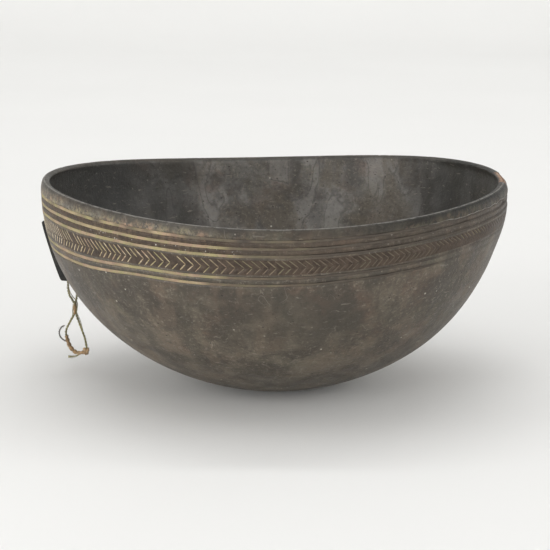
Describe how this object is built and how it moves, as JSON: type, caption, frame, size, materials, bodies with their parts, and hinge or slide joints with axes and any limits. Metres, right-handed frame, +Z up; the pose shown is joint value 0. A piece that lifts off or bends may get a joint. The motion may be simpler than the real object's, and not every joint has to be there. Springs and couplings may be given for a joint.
{
  "type": "carved wooden bowl",
  "caption": "Deep round wooden bowl with a carved herringbone band between filled lines, a saddle-shaped rim, and a pierced lug that holds a cord loop.",
  "frame": {"origin": "middle of the flat that the bowl rests on, on the bowl's axis", "axes": "+Z up along the bowl's axis; -Y the front; the rim's raised ends at +X and -X; the lug 13 degrees behind -X"},
  "size_m": [0.3046, 0.3, 0.1385],
  "materials": {
    "dark_wood": "worn dark patina, satin",
    "lime_fill": "dry, chalky, worn",
    "cord_fibre": "twisted plant fibre, dull",
    "binding_fibre": "wound plant fibre, dull",
    "tail_fibre": "thin grey-brown twine, dull"
  },
  "bodies": {
    "bowl_body": {"bowl": "dark_wood", "upper_line_fill_1": "lime_fill", "upper_line_fill_2": "lime_fill", "upper_line_fill_3": "lime_fill", "herringbone_fill": "lime_fill", "lower_line_fill_1": "lime_fill", "lower_line_fill_2": "lime_fill"},
    "cord_body": {"cord_loop": "cord_fibre", "cord_wrap": "binding_fibre", "cord_whipping": "binding_fibre", "cord_knot": "binding_fibre", "cord_tail_upper": "tail_fibre", "cord_tail_lower": "tail_fibre"}
  },
  "joints": [
    {"name": "cord_swing", "type": "hinge", "parent": "bowl_body", "child": "cord_body", "pos_m": [-0.13418, 0.03098, 0.068], "axis": [0.225, 0.9744, 0], "range_deg": [-30, 110]}
  ]
}
